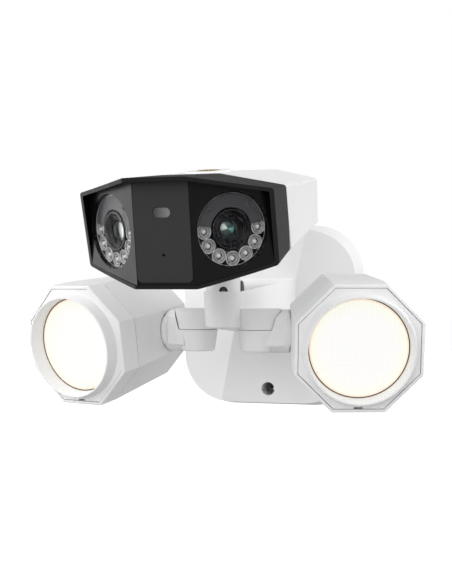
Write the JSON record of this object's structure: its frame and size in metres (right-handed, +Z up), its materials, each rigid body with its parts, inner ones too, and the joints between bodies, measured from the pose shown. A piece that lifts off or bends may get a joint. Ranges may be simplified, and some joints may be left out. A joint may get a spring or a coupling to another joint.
{
  "type": "floodlight security camera",
  "caption": "Wall-mounted twin-lens security camera on a cast arm, with a panning and tilting head and two octagonal floodlights that swing and tilt on knuckled arms.",
  "frame": {"origin": "on the wall face at the middle of the base, centre of the wall screw pattern", "axes": "+X to the right as seen from the front, +Y into the wall, +Z up; the camera looks along -Y"},
  "size_m": [0.2666, 0.3036, 0.1762],
  "materials": {
    "white_cast": "fine satin white powder coat",
    "white_plastic": "satin white weatherproof plastic",
    "black_plastic": "satin black plastic",
    "black_gloss": "semi-gloss black plastic",
    "dark_panel": "satin charcoal plastic",
    "sensor_lens": "smoked grey light guide",
    "clear_window": "clear flat window",
    "coated_glass": "coated dome lens",
    "ir_lens": "clear domed emitter in a bright cup",
    "circuit_board": "green solder mask",
    "led_board": "white solder mask with yellow emitters",
    "lamp_diffuser": "milky prismatic diffuser, lit",
    "white_gloss": "white gloss reflector",
    "rubber": "black silicone",
    "steel": "zinc-plated steel",
    "dark_steel": "black oxide steel",
    "brass": "turned brass",
    "aluminium": "extruded aluminium",
    "button_plastic": "grey plastic"
  },
  "bodies": {
    "base": {"base_cover": "steel", "base_gasket": "rubber", "base_housing": "white_cast", "base_screws": "dark_steel", "driver_board": "circuit_board", "inlet_grommet": "rubber", "knuckle_pins": "steel", "mounting_plate": "steel", "terminal_block": "black_plastic"},
    "neck": {"head_tilt_pin": "steel", "neck": "white_cast", "neck_set_screw": "dark_steel"},
    "head": {"centre_panel": "dark_panel", "front_frame": "black_gloss", "front_gasket": "rubber", "head_foot": "white_cast", "head_housing": "white_plastic", "head_screws": "steel", "left_front_element": "coated_glass", "left_ir_board": "black_plastic", "left_ir_lamps": "ir_lens", "left_lens_barrel": "black_plastic", "left_sensor_board": "circuit_board", "left_window": "clear_window", "light_sensor_window": "sensor_lens", "main_board": "circuit_board", "microphone_boot": "rubber", "right_front_element": "coated_glass", "right_ir_board": "black_plastic", "right_ir_lamps": "ir_lens", "right_lens_barrel": "black_plastic", "right_sensor_board": "circuit_board", "right_window": "clear_window", "service_cover": "white_plastic", "speaker": "black_plastic", "tripod_insert": "brass", "visor": "black_plastic"},
    "right_arm": {"right_lamp_arm": "white_cast", "right_tilt_pin": "steel"},
    "right_lamp": {"right_face_plate": "white_plastic", "right_heat_sink": "aluminium", "right_lamp_bezel": "white_plastic", "right_lamp_housing": "white_cast", "right_lamp_lens": "lamp_diffuser", "right_lamp_screws": "steel", "right_led_board": "led_board", "right_lens_gasket": "rubber", "right_reflector": "white_gloss"},
    "left_arm": {"left_lamp_arm": "white_cast", "left_tilt_pin": "steel"},
    "left_lamp": {"left_face_plate": "white_plastic", "left_heat_sink": "aluminium", "left_lamp_bezel": "white_plastic", "left_lamp_housing": "white_cast", "left_lamp_lens": "lamp_diffuser", "left_lamp_screws": "steel", "left_led_board": "led_board", "left_lens_gasket": "rubber", "left_reflector": "white_gloss"},
    "reset_button": {"reset_button": "button_plastic"}
  },
  "joints": [
    {"name": "head_pan", "type": "hinge", "parent": "base", "child": "neck", "pos_m": [0, -0.1615, 0.02], "axis": [0, 0, 1], "range_deg": [-45, 45]},
    {"name": "head_tilt", "type": "hinge", "parent": "neck", "child": "head", "pos_m": [0, -0.1615, 0.037], "axis": [1, 0, 0], "range_deg": [-30, 8]},
    {"name": "right_lamp_swing", "type": "hinge", "parent": "base", "child": "right_arm", "pos_m": [0.0207, -0.1502, -0.0063], "axis": [0, 0, 1], "range_deg": [-25, 30]},
    {"name": "right_lamp_tilt", "type": "hinge", "parent": "right_arm", "child": "right_lamp", "pos_m": [0.0207, -0.1502, -0.0063], "axis": [0.9583, 0.2857, 0], "range_deg": [-20, 25]},
    {"name": "left_lamp_swing", "type": "hinge", "parent": "base", "child": "left_arm", "pos_m": [-0.0207, -0.1502, -0.0063], "axis": [0, 0, -1], "range_deg": [-25, 30]},
    {"name": "left_lamp_tilt", "type": "hinge", "parent": "left_arm", "child": "left_lamp", "pos_m": [-0.0207, -0.1502, -0.0063], "axis": [0.9478, -0.319, 0], "range_deg": [-20, 25]},
    {"name": "reset_press", "type": "slide", "parent": "head", "child": "reset_button", "axis": [0, -0.2397, 0.9708], "range_m": [0, 0.0008], "stiffness_N_per_m": 800}
  ]
}
